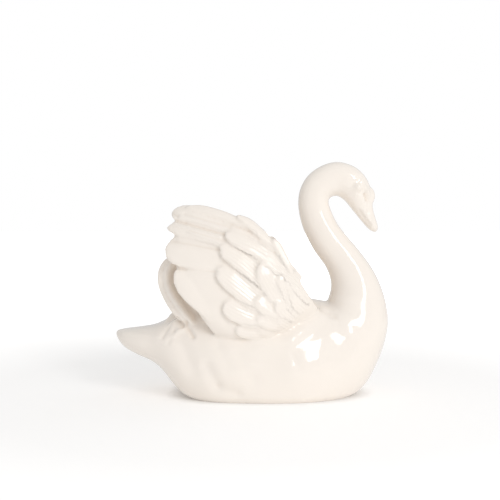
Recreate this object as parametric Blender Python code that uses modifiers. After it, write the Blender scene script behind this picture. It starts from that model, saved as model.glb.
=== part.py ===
"""A glazed ceramic swan figurine, cast in one piece.

The swan faces +X, its base lies on z = 0 and its plane of symmetry is y = 0.
Every length below is in millimetres and is turned to metres as a shape is built.
"""

import math

import bmesh
import bpy
import numpy as np

mm = 0.001

# The three main sizes. The shape below is drawn near them and is then brought to them exactly.
overall_length = 100.0
overall_width = 53.0
overall_height = 85.0

# Tail, body, neck and head are one skin over sections from the tail tip to the brow. Each row is the
# section's lower or front point as X and height, its upper or back point as X and height, its half width
# and where between the two points it is widest.
body_sections = [
    (-50.1, 21.2, -50.1, 22.8, 1.2, 0.50),
    (-48.6, 18.8, -48.6, 23.3, 4.4, 0.55),
    (-46.0, 16.4, -46.0, 23.7, 7.6, 0.60),
    (-41.3, 14.0, -41.3, 24.2, 11.2, 0.60),
    (-36.5, 12.0, -36.5, 25.0, 13.8, 0.58),
    (-32.6, 8.9, -32.6, 26.6, 16.4, 0.56),
    (-28.6, 3.9, -28.6, 28.8, 18.8, 0.50),
    (-24.0, -0.8, -24.0, 31.0, 20.6, 0.42),
    (-16.0, -7.0, -16.0, 34.0, 22.3, 0.41),
    (-6.0, -13.4, -6.0, 35.8, 23.2, 0.45),
    (6.0, -16.2, 5.0, 36.2, 23.6, 0.47),
    (18.0, -13.6, 14.5, 35.6, 22.9, 0.47),
    (28.0, -7.6, 20.5, 34.8, 21.0, 0.47),
    (36.0, -1.8, 24.3, 34.2, 18.8, 0.48),
    (42.2, 4.3, 26.4, 33.8, 17.0, 0.50),
    (46.0, 11.4, 27.4, 33.6, 15.8, 0.55),
    (48.6, 18.4, 27.8, 33.6, 14.6, 0.55),
    (50.0, 25.6, 28.0, 34.0, 13.4, 0.54),
    (49.5, 31.8, 28.4, 35.2, 12.2, 0.56),
    (48.1, 37.4, 29.0, 37.4, 10.6, 0.52),
    (46.2, 42.2, 29.2, 40.4, 9.2, 0.50),
    (43.6, 46.9, 28.4, 43.8, 8.0, 0.50),
    (40.6, 51.0, 26.9, 47.0, 7.1, 0.50),
    (37.5, 54.8, 25.0, 49.6, 6.6, 0.50),
    (34.3, 58.5, 22.9, 52.6, 6.3, 0.50),
    (31.6, 62.0, 20.7, 56.6, 6.0, 0.50),
    (29.7, 65.6, 18.8, 60.8, 5.8, 0.50),
    (28.5, 68.6, 17.5, 65.6, 5.6, 0.50),
    (28.1, 70.6, 17.0, 70.2, 5.6, 0.50),
    (28.8, 71.9, 17.8, 75.2, 5.6, 0.50),
    (30.1, 72.5, 20.6, 80.0, 5.6, 0.50),
    (31.3, 72.5, 25.4, 83.5, 5.6, 0.52),
    (32.4, 72.1, 31.0, 85.0, 5.7, 0.54),
    (33.4, 71.4, 36.4, 83.8, 5.9, 0.55),
    (34.6, 70.3, 40.0, 81.4, 5.8, 0.54),
    (35.7, 69.0, 42.5, 78.1, 5.2, 0.52),
    (36.6, 67.8, 43.6, 74.6, 4.5, 0.50),
    (37.6, 66.6, 43.7, 71.0, 3.7, 0.50),
]
body_roundness = 2.3
# A soft bulge on each flank, like a thigh: its middle as X and height, its radius and its height.
flank_middle = (-8.0, 13.4)
flank_radius = 9.0
flank_rise = 1.9
flank_falloff = 3

# Bill, from inside the face to its rounded tip: X, height, half thickness and half width.
bill_stations = [
    (39.4, 71.4, 4.0, 3.9),
    (40.6, 68.9, 3.9, 3.5),
    (41.6, 66.6, 3.2, 3.1),
    (42.8, 64.3, 2.6, 2.9),
    (44.0, 62.2, 2.1, 2.8),
    (45.1, 60.5, 1.5, 2.2),
    (45.7, 59.4, 0.5, 0.9),
]
# The knob stands this far ahead of the bill's first row and over it.
knob_ahead = 3.7
knob_over = 1.2
knob_radii = (2.3, 2.2, 3.0)
eye_centre = (38.4, 4.5, 75.4)
eye_radius = 1.5

# The wings lie on an ellipsoid: its centre along X and Z, then its three half lengths.
wing_guide_centre = (-2.0, 29.0)
wing_guide_radii = (58.0, 24.9, 52.0)
wing_edge_thickness = 3.2
wing_middle_thickness = 8.0
wing_rim_rounding = 1.5
# The rims are rounded over this last share of the width, at both edges.
wing_rim_share = 0.15
# How deep the shell's front edge sinks into the breast at its foot, and how much of that its rear edge does.
shoulder_sink = 0.8
shoulder_sink_spread = 0.7
rear_sink_share = 0.6
rear_sink_from = 0.72
# Toward its foot the whole wing leans in, from this height down, by this share of the square of the way.
lean_from = 31.0
lean_share = 0.034
# Toward the breast it runs into the body: the slanting way in as X and height, where along it the wing
# starts to dip, over what length it reaches the full dip, and that dip.
breast_way = (0.675, -0.737)
breast_from = -19.0
breast_reach = 13.0
breast_dip = 8.5
# Leading and trailing edge of the wing's own shell, matched point by point, as (X, height).
leading_edge = [
    (-24.0, 66.0),
    (-18.5, 66.6),
    (-10.0, 64.4),
    (-1.0, 61.0),
    (6.5, 56.0),
    (12.0, 49.5),
    (17.0, 43.0),
    (21.5, 37.2),
    (26.5, 32.6),
    (30.0, 28.0),
]
trailing_edge = [
    (-25.6, 64.6),
    (-27.2, 60.0),
    (-27.6, 54.0),
    (-26.5, 46.4),
    (-23.9, 40.4),
    (-20.6, 34.2),
    (-16.6, 28.2),
    (-12.0, 23.0),
    (-2.0, 20.6),
    (14.0, 21.4),
]

# Feathers of one wing: name, then tip, bend and root as (X, height), half width, height of the tip and of
# the root over the guide, number of raised quills, bluntness of the tip.
feathers = [
    ("flight_rim", (-23.6, 68.2), (-14.0, 66.4), (-1.0, 61.4), 1.3, 0.6, 0.4, 0, 2.8),
    ("flight_top", (-28.7, 66.0), (-17.0, 64.4), (-2.0, 58.2), 2.9, 0.5, -0.4, 0, 6.0),
    ("flight_upper", (-30.0, 60.8), (-18.0, 59.4), (-2.0, 53.4), 3.0, 0.7, -0.4, 2, 3.4),
    ("flight_middle", (-30.4, 54.2), (-20.0, 51.6), (-5.0, 46.6), 5.4, 0.5, -0.5, 0, 4.2),
    ("flight_broad", (-27.0, 46.0), (-17.2, 38.8), (-3.0, 25.0), 6.4, 0.3, -1.8, 0, 2.0),
    ("cover_tuft", (-5.6, 65.2), (0.9, 60.7), (8.0, 54.2), 1.4, 1.3, -0.4, 1, 2.0),
    ("cover_top", (-9.6, 58.8), (-1.6, 55.2), (8.0, 49.6), 2.7, 1.7, -0.7, 2, 2.8),
    ("cover_upper", (-11.4, 54.2), (-3.8, 49.8), (6.0, 40.8), 3.5, 1.9, -0.8, 0, 3.0),
    ("cover_middle", (-12.1, 46.9), (-4.6, 41.0), (7.0, 31.8), 3.9, 2.0, -1.0, 0, 2.6),
    ("cover_lower", (-9.6, 35.2), (-3.2, 31.4), (7.0, 28.0), 3.7, 1.7, -1.1, 0, 3.2),
    ("cover_lowest", (-5.4, 26.4), (-0.6, 25.0), (8.0, 24.6), 2.8, 1.1, -1.2, 0, 3.2),
    ("second_tuft", (7.4, 57.5), (9.6, 53.2), (13.6, 46.0), 1.2, 0.4, -0.4, 0, 2.2),
    ("second_top", (4.0, 51.0), (8.8, 48.0), (16.0, 42.0), 2.8, 0.3, -1.2, 0, 2.6),
    ("second_upper", (2.7, 48.6), (5.2, 42.4), (10.0, 34.0), 2.7, 1.5, -1.2, 1, 2.2),
    ("second_middle", (1.8, 37.2), (5.0, 33.6), (11.0, 29.6), 2.6, 1.4, -1.2, 1, 2.6),
    ("second_lower", (2.0, 30.4), (6.0, 28.2), (12.0, 26.4), 2.4, 1.2, -1.3, 1, 2.6),
    ("second_lowest", (2.6, 25.4), (6.4, 24.8), (12.0, 24.4), 1.8, 0.8, -1.4, 0, 2.6),
    ("third_upper", (10.0, 45.0), (10.4, 39.6), (13.0, 32.6), 1.8, 0.8, -1.2, 1, 2.2),
    ("third_middle", (8.6, 35.6), (10.6, 32.0), (15.0, 28.4), 1.8, 0.8, -1.2, 1, 2.4),
    ("third_lower", (9.2, 30.0), (11.6, 27.6), (16.0, 25.8), 1.6, 0.6, -1.3, 1, 2.4),
    ("shoulder_upper", (13.4, 45.8), (16.6, 41.0), (21.5, 35.4), 3.0, -0.5, -1.2, 0, 2.4),
    ("shoulder_middle", (13.2, 39.0), (17.0, 34.6), (22.0, 30.4), 3.2, -0.5, -1.2, 0, 2.4),
    ("shoulder_lower", (13.0, 32.4), (17.4, 29.6), (23.0, 27.0), 3.0, -0.6, -1.4, 0, 2.4),
]
# A feather's width at its root as a share of its full width, how round its tip is drawn, and how its height
# over the guide grows toward the tip.
feather_root_share = 0.72
feather_tip_roundness = 0.6
feather_least_width = 0.1
feather_rise_power = 1.2
# Its face: a dome, a tilt that lifts the lower edge, and raised quills, all as shares of its half width
# except for the quill's height. The upper edge reaches on under the next feather.
feather_dome_share = 0.2
feather_dome_power = 3
feather_tilt_share = 0.24
feather_tilt_middle = 0.6
feather_tucked_under = 1.5
feather_face_drop = 0.2
quill_height = 0.3
quill_width = 0.18
quill_spread = 0.45
# Over these last shares of its length a feather comes out from under the next one, and its quills end.
feather_free_share = 0.25
quill_end_share = 0.33
# Its underside: how deep it lies, the least share of that, and where across the feather its points are.
feather_depth = 2.8
feather_least_depth = 0.5
feather_under_places = (0.85, 0.3, -0.3, -0.85)

# The wing's inner layer, seen behind the outer one: its rear edge from root to tip as (X, height), its depth
# under the guide, and across it two long raised feathers (place, radius), a recess and the part that joins
# the shell.
inner_layer_edge = [
    (-18.0, 20.0),
    (-24.2, 26.6),
    (-28.6, 32.0),
    (-31.8, 36.9),
    (-34.0, 42.0),
    (-34.2, 46.6),
    (-32.4, 50.4),
    (-28.6, 53.2),
]
inner_layer_depth = 9.0
inner_layer_thickness = 2.5
inner_layer_width = 16.0
inner_layer_ridges = [(-0.7, 1.4), (1.8, 1.5)]
inner_ridge_stretch = 1.8
inner_recess = 2.4
inner_recess_end = 6.2
inner_join_width = 3.0
inner_join_height = 7.2
# Its back: the width over which the edge is rounded, the least depth there, and its depth under the recess.
inner_back_rounding = 2.0
inner_back_least = 0.1
inner_back_drop = 2.0
# Both ends of it are drawn in on a curve of this power, down to this share of the square of its height.
inner_end_power = 6
inner_end_least = 0.05

# Short raised feathers on the rump, between the tail and the wings: tip and root.
rump_feathers = [
    ((-31.6, 6.5, 26.6), (-22.0, 4.0, 31.0)),
    ((-31.0, 11.6, 24.6), (-21.0, 9.0, 30.0)),
    ((-29.8, 16.0, 21.8), (-20.0, 14.0, 27.0)),
]
rump_feather_radius = 2.2
rump_feather_flatness = 0.8
rump_feather_end_power = 4
rump_feather_end_least = 0.05

# Soft strokes over the finished skin, the same on both sides: name, start and end as (X, height), radius and
# height, below zero where the stroke presses in.
strokes = [
    ("flank_crease_low", (-15.6, 13.0), (-12.4, 6.8), 2.4, -0.4),
    ("flank_crease_under", (-11.4, 5.4), (-5.2, 3.8), 2.2, -0.3),
    ("flank_crease_front", (-2.6, 20.0), (3.4, 11.6), 2.8, -0.6),
    ("tail_groove_back", (-31.8, 22.4), (-29.2, 26.8), 0.7, -0.5),
    ("tail_groove_front", (-29.6, 20.6), (-27.6, 24.8), 0.8, -0.35),
    ("rump_gap_back", (-26.6, 28.9), (-24.8, 26.6), 0.7, -0.9),
    ("rump_gap_front", (-23.6, 27.2), (-20.8, 23.2), 0.9, -1.0),
    ("eye_under", (36.6, 73.4), (39.6, 72.8), 0.9, -0.35),
    ("eye_over", (36.2, 77.4), (38.6, 78.2), 0.9, -0.3),
    ("brow", (39.6, 77.8), (41.2, 75.0), 0.8, 0.4),
    ("lore", (40.7, 72.0), (41.9, 70.0), 0.9, -1.0),
]
# A stroke works in full where the skin faces this far to the side, and fades to nothing where it faces up,
# down, ahead or to the middle.
stroke_full_from = 0.4

# The foot is drawn in toward the floor, over this height and by this much.
foot_height = 2.6
foot_drawn_in = 2.0

base_height = 0.0
cutter_size = 140.0

# The fused skin's cell, its smoothing and the share of its triangles that the part keeps.
voxel = 0.8
smooth_factor = 0.5
smooth_passes = 2
kept_share = 0.11

glaze_colour = (0.91, 0.85, 0.76, 1.0)
glaze_roughness = 0.15


def clear_scene():
    for old in list(bpy.data.objects):
        bpy.data.objects.remove(old)


def new_collection(name):
    made = bpy.data.collections.new(name)
    bpy.context.scene.collection.children.link(made)
    return made


def smooth_rows(rows, steps):
    """Rows of numbers with steps - 1 more between each pair, on a curve that passes through them all."""
    rows = np.array(rows, float)
    last = len(rows) - 1
    result = []
    for i in range(last):
        before = rows[max(i - 1, 0)]
        start = rows[i]
        end = rows[i + 1]
        after = rows[min(i + 2, last)]
        for j in range(steps):
            t = j / steps
            a = 2 * start
            b = end - before
            c = 2 * before - 5 * start + 4 * end - after
            d = 3 * start - before - 3 * end + after
            result.append(0.5 * (a + b * t + c * t * t + d * t * t * t))
    result.append(rows[last])
    return result


def loft(name, rings, place):
    """A closed skin over rings of points that all have the same count."""
    mesh = bpy.data.meshes.new(name)
    shape = bmesh.new()
    made = []
    for ring in rings:
        made.append([shape.verts.new([value * mm for value in point]) for point in ring])
    count = len(rings[0])
    for lower, upper in zip(made, made[1:]):
        for i in range(count):
            j = (i + 1) % count
            shape.faces.new((lower[i], lower[j], upper[j], upper[i]))
    shape.faces.new(list(reversed(made[0])))
    shape.faces.new(made[-1])
    bmesh.ops.recalc_face_normals(shape, faces=shape.faces[:])
    shape.to_mesh(mesh)
    shape.free()
    piece = bpy.data.objects.new(name, mesh)
    place.objects.link(piece)
    return piece


def ball(name, centre, radii, place):
    """A stretched ball, from the sphere primitive."""
    bpy.ops.mesh.primitive_uv_sphere_add(segments=32, ring_count=20, radius=1.0)
    piece = bpy.context.object
    piece.name = name
    for corner in piece.data.vertices:
        corner.co = [(c + r * v) * mm for c, r, v in zip(centre, radii, corner.co)]
    for holder in list(piece.users_collection):
        holder.objects.unlink(piece)
    place.objects.link(piece)
    return piece


def mirror_across(piece):
    """The same shape on the other side of the swan's plane of symmetry."""
    mirror = piece.modifiers.new("other side", "MIRROR")
    mirror.use_axis = (False, True, False)
    mirror.use_clip = False
    mirror.use_mirror_merge = False
    return piece


def make_body(place):
    rings = []
    count = 44
    for low_x, low_z, high_x, high_z, half, widest in smooth_rows(body_sections, 4):
        low = np.array((low_x, low_z))
        rise = np.array((high_x, high_z)) - low
        ring = []
        for i in range(count):
            turn = 2 * math.pi * i / count
            across = math.copysign(abs(math.cos(turn)) ** (2 / body_roundness), math.cos(turn))
            up = math.copysign(abs(math.sin(turn)) ** (2 / body_roundness), math.sin(turn))
            share = widest + up * (1 - widest if up > 0 else widest)
            spot = low + rise * share
            away = math.hypot(spot[0] - flank_middle[0], spot[1] - flank_middle[1])
            bulge = flank_rise * math.exp(-((away / flank_radius) ** flank_falloff))
            ring.append((spot[0], (half + bulge) * across, spot[1]))
        rings.append(ring)
    return loft("body", rings, place)


def make_tube(name, stations, steps, place):
    """An oval tube whose sections stand square to its path in the plane of symmetry."""
    rows = smooth_rows(stations, steps)
    rings = []
    count = 28
    for i, (x, z, thick, wide) in enumerate(rows):
        back = rows[max(i - 1, 0)]
        ahead = rows[min(i + 1, len(rows) - 1)]
        along = math.hypot(ahead[0] - back[0], ahead[1] - back[1])
        side_x = (ahead[1] - back[1]) / along
        side_z = -(ahead[0] - back[0]) / along
        ring = []
        for j in range(count):
            turn = 2 * math.pi * j / count
            reach = thick * math.cos(turn)
            ring.append((x + side_x * reach, wide * math.sin(turn), z + side_z * reach))
        rings.append(ring)
    return loft(name, rings, place)


def on_wing(x, z, over):
    """A point at a height over the wing's guide, on the swan's left side."""
    along = (x - wing_guide_centre[0]) / wing_guide_radii[0]
    rise = (z - wing_guide_centre[1]) / wing_guide_radii[2]
    across = math.sqrt(max(1 - along * along - rise * rise, 0.03))
    away = (
        along / wing_guide_radii[0],
        across / wing_guide_radii[1],
        rise / wing_guide_radii[2],
    )
    size = math.sqrt(sum(value * value for value in away))
    over -= lean_share * max(lean_from - z, 0) ** 2
    into_breast = x * breast_way[0] + z * breast_way[1] - breast_from
    over -= breast_dip * (max(into_breast, 0) / breast_reach) ** 2
    start = (x, wing_guide_radii[1] * across, z)
    return tuple(start[i] + over * away[i] / size for i in range(3))


def make_wing_shell(place):
    front = smooth_rows(leading_edge, 5)
    rear = smooth_rows(trailing_edge, 5)
    count = 24
    rings = []
    for i, (lead, trail) in enumerate(zip(front, rear)):
        down = i / (len(front) - 1)
        low = max(0, down - rear_sink_from) / (1 - rear_sink_from)
        outer = []
        inner = []
        for j in range(count):
            share = j / (count - 1)
            x = lead[0] + (trail[0] - lead[0]) * share
            z = lead[1] + (trail[1] - lead[1]) * share
            hump = math.sin(math.pi * share)
            near_edge = max(0, wing_rim_share - min(share, 1 - share)) / wing_rim_share
            rounding = wing_rim_rounding * near_edge ** 2
            front_sink = down * down * (1 - share) ** shoulder_sink_spread
            sink = shoulder_sink * (front_sink + rear_sink_share * low * share)
            depth = wing_edge_thickness + (wing_middle_thickness - wing_edge_thickness) * hump
            outer.append(on_wing(x, z, -sink - rounding))
            inner.append(on_wing(x, z, -sink - depth + rounding / 2))
        rings.append(outer + inner[::-1])
    return mirror_across(loft("wing_shell", rings, place))


def feather_line(tip, bend, root, u):
    """A point on a feather's middle line, from its root at 0 to its tip at 1."""
    tip = np.array(tip, float)
    bend = np.array(bend, float)
    root = np.array(root, float)
    pull = 2 * bend - (tip + root) / 2
    return root * (1 - u) ** 2 + 2 * pull * u * (1 - u) + tip * u * u


def feather_width(u, blunt):
    """Share of the full width: drawn in a little at the root, a pointed arch at the tip."""
    if u < 0.5:
        return feather_root_share + (1 - feather_root_share) * math.sin(math.pi * u)
    return max((1 - (2 * u - 1) ** blunt) ** feather_tip_roundness, feather_least_width)


def make_feather(name, tip, bend, root, half, tip_over, root_over, quills, blunt, place):
    """A leaf on the wing: its root is sunk, its lower edge raised, its upper edge under the next one."""
    rings = []
    steps = 24
    for i in range(steps + 1):
        u = i / steps
        centre = feather_line(tip, bend, root, u)
        ahead = feather_line(tip, bend, root, min(u + 1 / steps, 1))
        along = ahead - feather_line(tip, bend, root, max(u - 1 / steps, 0))
        aside = np.array((-along[1], along[0])) / np.hypot(along[0], along[1])
        wide = half * feather_width(u, blunt)
        over = root_over + (tip_over - root_over) * u ** feather_rise_power
        tilt = feather_tilt_share * wide
        tucked = 1 + (feather_tucked_under - 1) * min(1, (1 - u) / feather_free_share)
        top = []
        under = []
        for part in np.linspace(-1, 1, 17):
            v = part if part > 0 else part * tucked
            spot = centre + aside * wide * v
            quill = 0.0
            if quills:
                off_quill = abs(v) - quill_spread * (quills - 1)
                quill = quill_height * math.exp(-((off_quill / quill_width) ** 2))
                quill *= min(1, (1 - u) / quill_end_share)
            dome = feather_dome_share * wide * (1 - abs(part) ** feather_dome_power)
            rise = dome + tilt * (v - feather_tilt_middle) + quill - feather_face_drop
            top.append(on_wing(spot[0], spot[1], over + rise))
        for part in feather_under_places:
            v = part if part > 0 else part * tucked
            spot = centre + aside * wide * v
            depth = feather_depth * max(wide / half, feather_least_depth) + feather_tilt_middle * tilt * (1 - v)
            under.append(on_wing(spot[0], spot[1], over - depth))
        rings.append(top + under)
    return mirror_across(loft(name, rings, place))


def inner_layer_height(reach):
    """Height of the inner layer's outer face at a distance across it from its edge line."""
    height = -inner_recess
    if reach > inner_recess_end:
        height += min((reach - inner_recess_end) / inner_join_width, 1) * inner_join_height
    for middle, radius in inner_layer_ridges:
        inside = radius * radius - (reach - middle) ** 2
        if inside > 0:
            height = max(height, inner_ridge_stretch * math.sqrt(inside))
    return height


def make_inner_layer(place):
    rows = smooth_rows(inner_layer_edge, 5)
    outer_edge = inner_layer_ridges[0][0] - inner_layer_ridges[0][1]
    ridges_end = inner_layer_ridges[1][0] + inner_layer_ridges[1][1] / 2
    rings = []
    for i, (x, z) in enumerate(rows):
        back = rows[max(i - 1, 0)]
        ahead = rows[min(i + 1, len(rows) - 1)]
        along = math.hypot(ahead[0] - back[0], ahead[1] - back[1])
        side_x = (ahead[1] - back[1]) / along
        side_z = -(ahead[0] - back[0]) / along
        part = i / (len(rows) - 1)
        fade = math.sqrt(max(1 - (2 * part - 1) ** inner_end_power, inner_end_least))
        top = []
        under = []
        for reach in np.linspace(outer_edge, inner_layer_width, 40):
            over = inner_layer_height(reach) * fade - inner_layer_depth
            top.append(on_wing(x + side_x * reach * fade, z + side_z * reach * fade, over))
        for reach in np.linspace(inner_layer_width, outer_edge, 16):
            inward = min((reach - outer_edge) / inner_back_rounding, 1)
            height = -inner_layer_thickness * math.sqrt(1 - (1 - inward) ** 2) - inner_back_least
            if reach > ridges_end:
                height = min(height, -inner_recess - inner_back_drop)
            over = height * fade - inner_layer_depth
            under.append(on_wing(x + side_x * reach * fade, z + side_z * reach * fade, over))
        rings.append(top + under)
    mirror_across(loft("inner_layer", rings, place))


def make_rump_feathers(place):
    for number, (tip, root) in enumerate(rump_feathers):
        rings = []
        tip = np.array(tip, float)
        root = np.array(root, float)
        for i in range(9):
            u = i / 8
            centre = root + (tip - root) * u
            drawn = max(1 - (2 * u - 1) ** rump_feather_end_power, rump_feather_end_least)
            radius = rump_feather_radius * math.sqrt(drawn)
            ring = []
            for j in range(12):
                turn = 2 * math.pi * j / 12
                ring.append(
                    (
                        centre[0],
                        centre[1] + radius * math.cos(turn),
                        centre[2] + rump_feather_flatness * radius * math.sin(turn),
                    )
                )
            rings.append(ring)
        mirror_across(loft("rump_feather_%d" % (number + 1), rings, place))


def joined_mesh(name, pieces):
    """All the pieces as they are evaluated, in one mesh."""
    graph = bpy.context.evaluated_depsgraph_get()
    whole = bmesh.new()
    for piece in pieces:
        copy = bpy.data.meshes.new_from_object(piece.evaluated_get(graph))
        whole.from_mesh(copy)
        bpy.data.meshes.remove(copy)
    mesh = bpy.data.meshes.new(name)
    whole.to_mesh(mesh)
    whole.free()
    return mesh


def fused_mesh(piece):
    """The piece's shapes as one closed skin, a little softened."""
    fuse = piece.modifiers.new("fuse", "REMESH")
    fuse.mode = "VOXEL"
    fuse.voxel_size = voxel * mm
    soften = piece.modifiers.new("soft glaze", "SMOOTH")
    soften.factor = smooth_factor
    soften.iterations = round(smooth_passes)
    bpy.context.view_layer.update()
    graph = bpy.context.evaluated_depsgraph_get()
    mesh = bpy.data.meshes.new_from_object(piece.evaluated_get(graph))
    piece.modifiers.clear()
    return mesh


def without_pockets(mesh):
    """Leave the outer skin alone: small hollows that the fusing closed in are filled."""
    shape = bmesh.new()
    shape.from_mesh(mesh)
    islands = []
    seen = set()
    for first in shape.verts:
        if first in seen:
            continue
        seen.add(first)
        island = [first]
        for corner in island:
            for edge in corner.link_edges:
                other = edge.other_vert(corner)
                if other not in seen:
                    seen.add(other)
                    island.append(other)
        islands.append(island)
    islands.sort(key=len)
    for island in islands[:-1]:
        bmesh.ops.delete(shape, geom=island, context="VERTS")
    shape.to_mesh(mesh)
    shape.free()


def stroked(points, normals):
    """The points after the soft strokes, which the skin takes along its own normals."""
    facing_out = np.sign(points[:, 1]) * normals[:, 1]
    weight = np.clip(facing_out / stroke_full_from, 0, 1)
    moved = points.copy()
    for name, start, end, radius, height in strokes:
        start = np.array(start)
        run = np.array(end) - start
        flat = points[:, (0, 2)] - start
        part = np.clip(flat @ run / (run @ run), 0, 1)
        away = np.linalg.norm(flat - part[:, None] * run, axis=1)
        moved += normals * (height * np.exp(-((away / radius) ** 2)) * weight)[:, None]
    return moved


def foot_drawn(points, normals):
    """The points with the lowest part drawn in, so that the edge of the base is round."""
    share = np.clip(1 - (points[:, 2] - base_height) / foot_height, 0, 1) ** 2
    drawn = points.copy()
    drawn[:, 0] -= foot_drawn_in * share * normals[:, 0]
    drawn[:, 1] -= foot_drawn_in * share * normals[:, 1]
    return drawn


def to_main_sizes(points):
    """The points stretched about the base's middle until the swan has its three main sizes."""
    low = points.min(axis=0)
    high = points.max(axis=0)
    scaled = points.copy()
    scaled[:, 0] *= overall_length / (high[0] - low[0])
    scaled[:, 1] *= overall_width / (high[1] - low[1])
    scaled[:, 2] = base_height + (points[:, 2] - base_height) * overall_height / (high[2] - base_height)
    return scaled


def finish_skin(mesh):
    count = len(mesh.vertices)
    points = np.empty(count * 3, np.float32)
    normals = np.empty(count * 3, np.float32)
    mesh.vertices.foreach_get("co", points)
    mesh.vertices.foreach_get("normal", normals)
    points = points.reshape(-1, 3) / mm
    normals = normals.reshape(-1, 3)
    points = stroked(points, normals)
    points = foot_drawn(points, normals)
    points = to_main_sizes(points)
    mesh.vertices.foreach_set("co", (points * mm).astype(np.float32).ravel())
    mesh.update()


def glazed_ceramic():
    made = bpy.data.materials.new("glazed_ceramic")
    made.use_nodes = True
    shader = made.node_tree.nodes["Principled BSDF"]
    shader.inputs["Base Color"].default_value = glaze_colour
    shader.inputs["Roughness"].default_value = glaze_roughness
    shader.inputs["Metallic"].default_value = 0.0
    return made


def hide_tools(pieces):
    for piece in pieces:
        piece.hide_render = True
        piece.display_type = "WIRE"


def main():
    clear_scene()
    shown = new_collection("swan figurine")
    tools = new_collection("shapes and cutters")
    make_body(tools)
    make_tube("bill", bill_stations, 4, tools)
    knob_x = bill_stations[0][0] + knob_ahead
    knob_z = bill_stations[0][1] + knob_over
    ball("knob", (knob_x, 0.0, knob_z), knob_radii, tools)
    mirror_across(ball("eye", eye_centre, (eye_radius,) * 3, tools))
    make_wing_shell(tools)
    for row in feathers:
        make_feather(*row, tools)
    make_inner_layer(tools)
    make_rump_feathers(tools)
    bpy.context.view_layer.update()

    swan = bpy.data.objects.new("swan", joined_mesh("swan", list(tools.objects)))
    shown.objects.link(swan)
    swan.data = fused_mesh(swan)
    without_pockets(swan.data)
    finish_skin(swan.data)
    swan.data.shade_smooth()
    lighten = swan.modifiers.new("fewer faces", "DECIMATE")
    lighten.ratio = kept_share

    bpy.ops.mesh.primitive_cube_add(size=1.0)
    floor_cut = bpy.context.object
    floor_cut.name = "base_cutter"
    for corner in floor_cut.data.vertices:
        corner.co = [value * cutter_size * mm for value in corner.co]
        corner.co.z += (base_height - cutter_size / 2) * mm
    for holder in list(floor_cut.users_collection):
        holder.objects.unlink(floor_cut)
    tools.objects.link(floor_cut)
    flat = swan.modifiers.new("flat base", "BOOLEAN")
    flat.operation = "DIFFERENCE"
    flat.solver = "EXACT"
    flat.object = floor_cut
    swan.data.materials.append(glazed_ceramic())
    hide_tools(tools.objects)


main()
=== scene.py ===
import math

import bmesh
import bpy
import numpy as np
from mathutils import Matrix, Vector


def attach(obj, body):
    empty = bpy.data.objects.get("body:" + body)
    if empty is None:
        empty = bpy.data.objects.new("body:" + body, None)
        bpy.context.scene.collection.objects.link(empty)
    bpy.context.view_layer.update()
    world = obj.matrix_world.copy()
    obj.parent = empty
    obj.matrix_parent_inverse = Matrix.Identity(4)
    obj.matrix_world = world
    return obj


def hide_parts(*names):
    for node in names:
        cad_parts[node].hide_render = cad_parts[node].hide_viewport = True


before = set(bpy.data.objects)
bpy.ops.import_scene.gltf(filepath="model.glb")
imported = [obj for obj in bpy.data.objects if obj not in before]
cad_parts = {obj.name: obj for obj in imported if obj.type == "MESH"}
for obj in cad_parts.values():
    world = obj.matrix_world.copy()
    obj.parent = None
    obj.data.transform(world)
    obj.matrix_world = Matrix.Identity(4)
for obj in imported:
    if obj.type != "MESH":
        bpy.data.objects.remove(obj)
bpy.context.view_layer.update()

mm = 0.001


# small helpers

# hex colour as the linear values that a shader takes
def srgb(hexColour):
    channels = [int(hexColour[i:i + 2], 16) / 255 for i in (1, 3, 5)]
    linear = [c / 12.92 if c <= 0.04045 else ((c + 0.055) / 1.055) ** 2.4 for c in channels]
    return (*linear, 1.0)


# one node with its settings, socket values and links into it
def addNode(tree, kind, at=(0, 0), links=None, **settings):
    node = tree.nodes.new(kind)
    node.location = at
    for key, value in settings.items():
        if key == "values":
            for socket, number in value.items():
                node.inputs[socket].default_value = number
        else:
            setattr(node, key, value)
    for socket, source in (links or {}).items():
        tree.links.new(source, node.inputs[socket])
    return node


# more rows between the given ones, on a curve through all of them
def smoothRows(rows, steps):
    rows = np.array(rows, float)
    last = len(rows) - 1
    result = []
    for i in range(last):
        before, start, end, after = rows[max(i - 1, 0)], rows[i], rows[i + 1], rows[min(i + 2, last)]
        for j in range(steps):
            t = j / steps
            result.append(0.5 * (2 * start + (end - before) * t
                                 + (2 * before - 5 * start + 4 * end - after) * t * t
                                 + (3 * start - before - 3 * end + after) * t ** 3))
    result.append(rows[last])
    return result


# a mesh's points in millimetres, with their normals
def readPoints(mesh):
    points, normals = (np.empty(len(mesh.vertices) * 3, np.float32) for _ in range(2))
    mesh.vertices.foreach_get("co", points)
    mesh.vertices.foreach_get("normal", normals)
    return points.reshape(-1, 3) / mm, normals.reshape(-1, 3)


# closed mesh over rings of points, in millimetres
def skin(name, rings):
    mesh = bpy.data.meshes.new(name)
    count = len(rings[0])
    points = [Vector(p) * mm for ring in rings for p in ring]
    faces = []
    for r in range(len(rings) - 1):
        for i in range(count):
            j = (i + 1) % count
            faces.append((r * count + i, r * count + j, (r + 1) * count + j, (r + 1) * count + i))
    faces.append(tuple(range(count - 1, -1, -1)))
    faces.append(tuple(range((len(rings) - 1) * count, len(rings) * count)))
    mesh.from_pydata(points, [], faces)
    shape = bmesh.new()
    shape.from_mesh(mesh)
    bmesh.ops.recalc_face_normals(shape, faces=shape.faces[:])
    shape.to_mesh(mesh)
    shape.free()
    return mesh


# the shape and its copy on the swan's other side
def mirrored(mesh):
    other = mesh.copy()
    for corner in other.vertices:
        corner.co.y = -corner.co.y
    other.flip_normals()
    return [mesh, other]


# body, neck and head

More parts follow.
